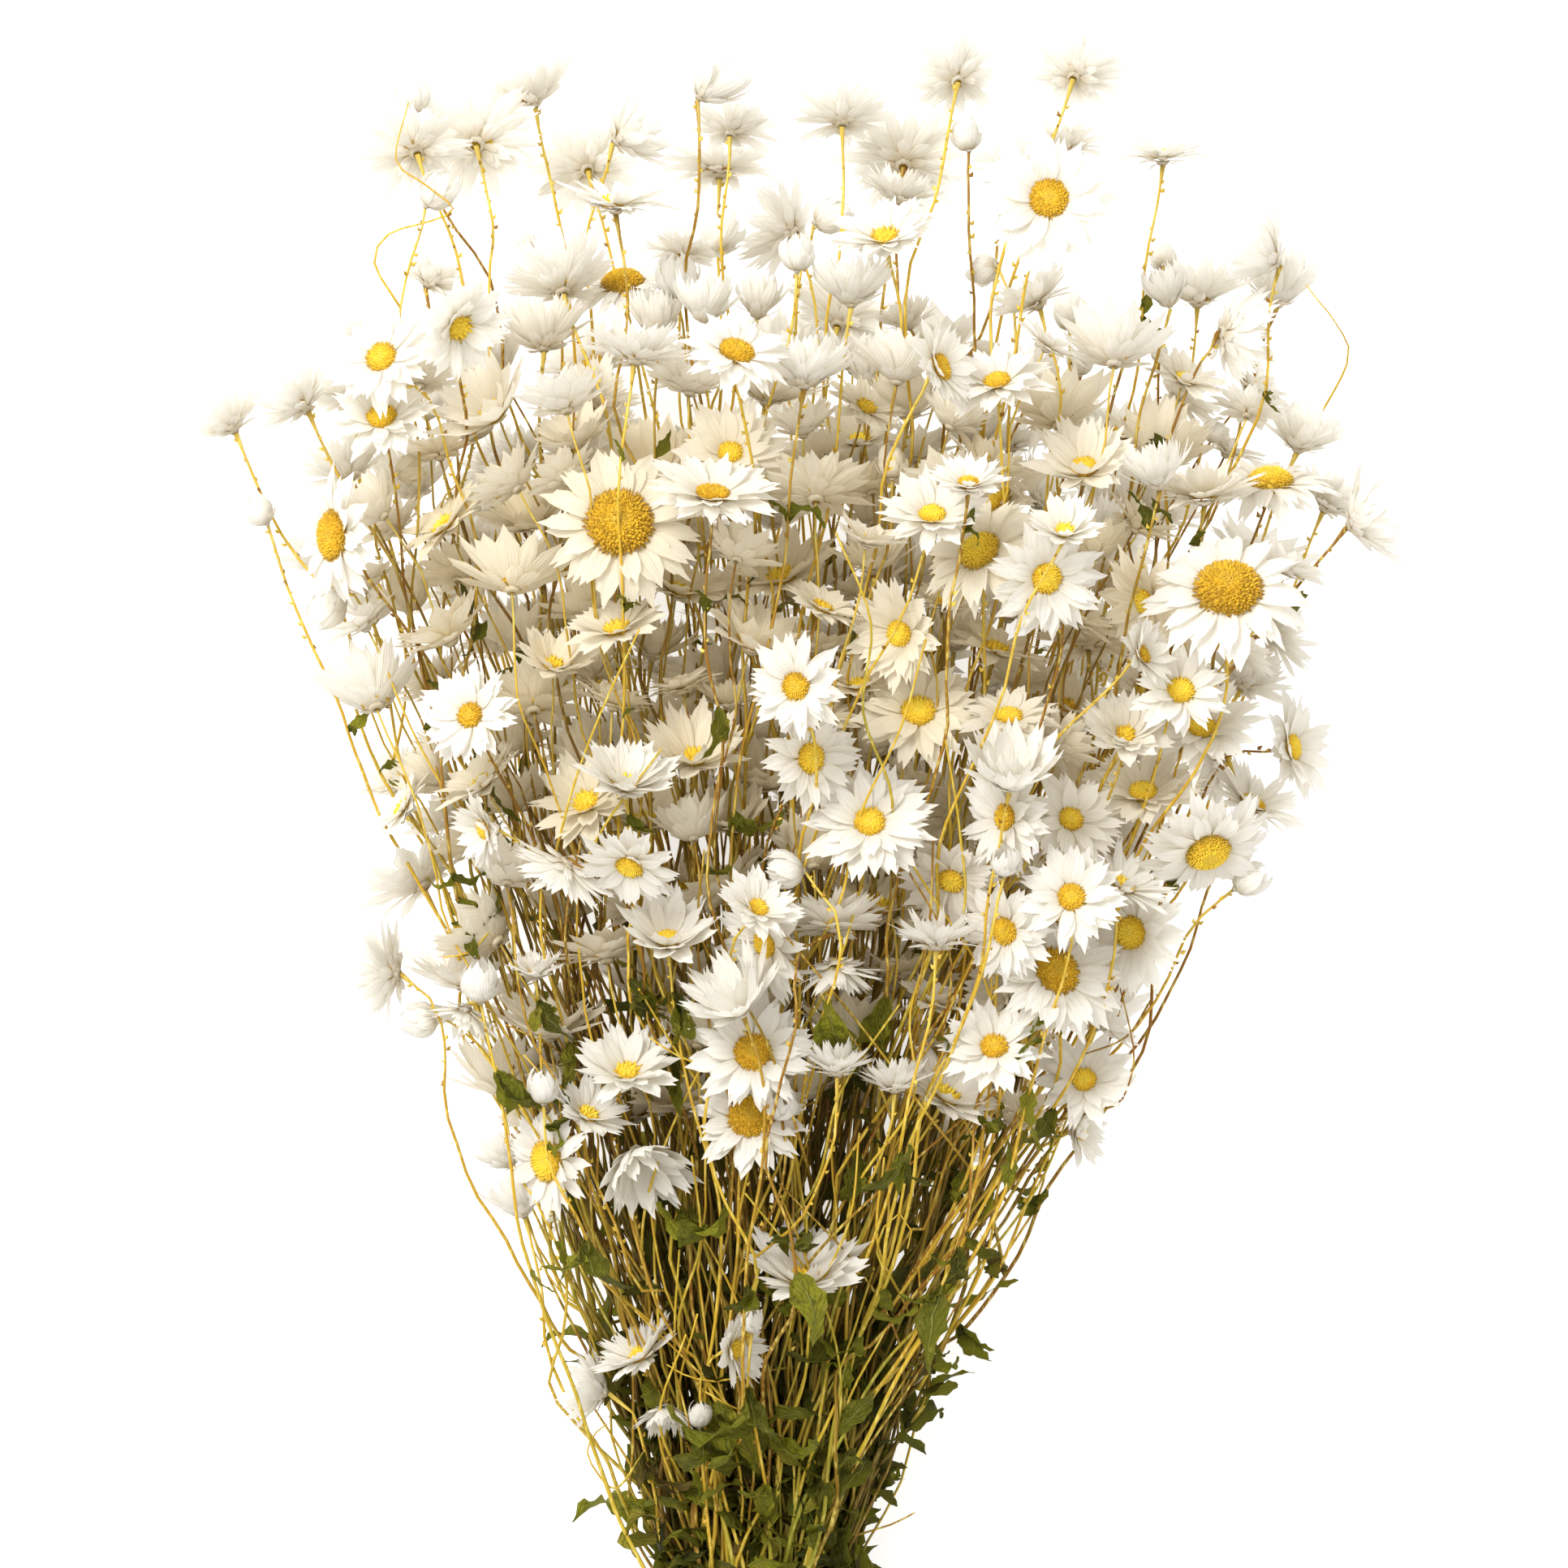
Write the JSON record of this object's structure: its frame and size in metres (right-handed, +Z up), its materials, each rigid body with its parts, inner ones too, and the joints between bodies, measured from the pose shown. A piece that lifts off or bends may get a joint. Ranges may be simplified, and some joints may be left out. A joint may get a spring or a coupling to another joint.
{
  "type": "dried flower bunch",
  "caption": "Tied bunch of dried white everlasting daisies on thin straw stems, laid on its side, with papery heads, golden discs, buds and small curled leaves.",
  "frame": {"origin": "on the surface the bunch lies on, under the middle of its bounding box", "axes": "+Y along the stems toward the heads, +Z up out of the surface, +X to the right of the bunch's front, which faces up"},
  "size_m": [0.3308, 0.5328, 0.138],
  "materials": {
    "papery_petal": "dry, papery and matt, slightly see-through, with fine lengthwise veins",
    "golden_disc": "granular golden yellow with a brown and olive rim",
    "straw_stem": "dry straw, yellow to orange brown, faintly glossy",
    "dried_leaf": "dry, curled and matt, olive green to dark brown",
    "tie_band": "natural tan latex, semi-matt"
  },
  "bodies": {
    "root": {"spray_01": "papery_petal", "spray_02": "papery_petal", "spray_03": "papery_petal", "spray_04": "papery_petal", "spray_05": "papery_petal", "spray_06": "papery_petal", "spray_07": "papery_petal", "spray_08": "papery_petal", "spray_09": "papery_petal", "spray_10": "papery_petal", "spray_11": "papery_petal", "spray_12": "papery_petal", "spray_13": "papery_petal", "spray_14": "papery_petal", "spray_15": "papery_petal", "spray_16": "papery_petal", "spray_17": "papery_petal", "spray_18": "papery_petal", "spray_19": "papery_petal", "spray_20": "papery_petal", "spray_21": "papery_petal", "spray_22": "papery_petal", "spray_23": "papery_petal", "spray_24": "papery_petal", "spray_25": "papery_petal", "spray_26": "papery_petal", "spray_27": "papery_petal", "spray_28": "papery_petal", "spray_29": "papery_petal", "spray_30": "papery_petal", "spray_31": "papery_petal", "spray_32": "papery_petal", "spray_33": "papery_petal", "spray_34": "papery_petal", "spray_35": "papery_petal", "spray_36": "papery_petal", "spray_37": "papery_petal", "spray_38": "papery_petal", "spray_39": "papery_petal", "spray_40": "papery_petal", "spray_41": "papery_petal", "spray_42": "papery_petal", "spray_43": "papery_petal", "spray_44": "papery_petal", "spray_45": "papery_petal", "spray_46": "papery_petal", "spray_47": "papery_petal", "spray_48": "papery_petal", "spray_49": "papery_petal", "spray_50": "papery_petal", "spray_51": "papery_petal", "spray_52": "papery_petal", "spray_53": "papery_petal", "spray_54": "papery_petal", "tie": "tie_band"}
  },
  "joints": []
}
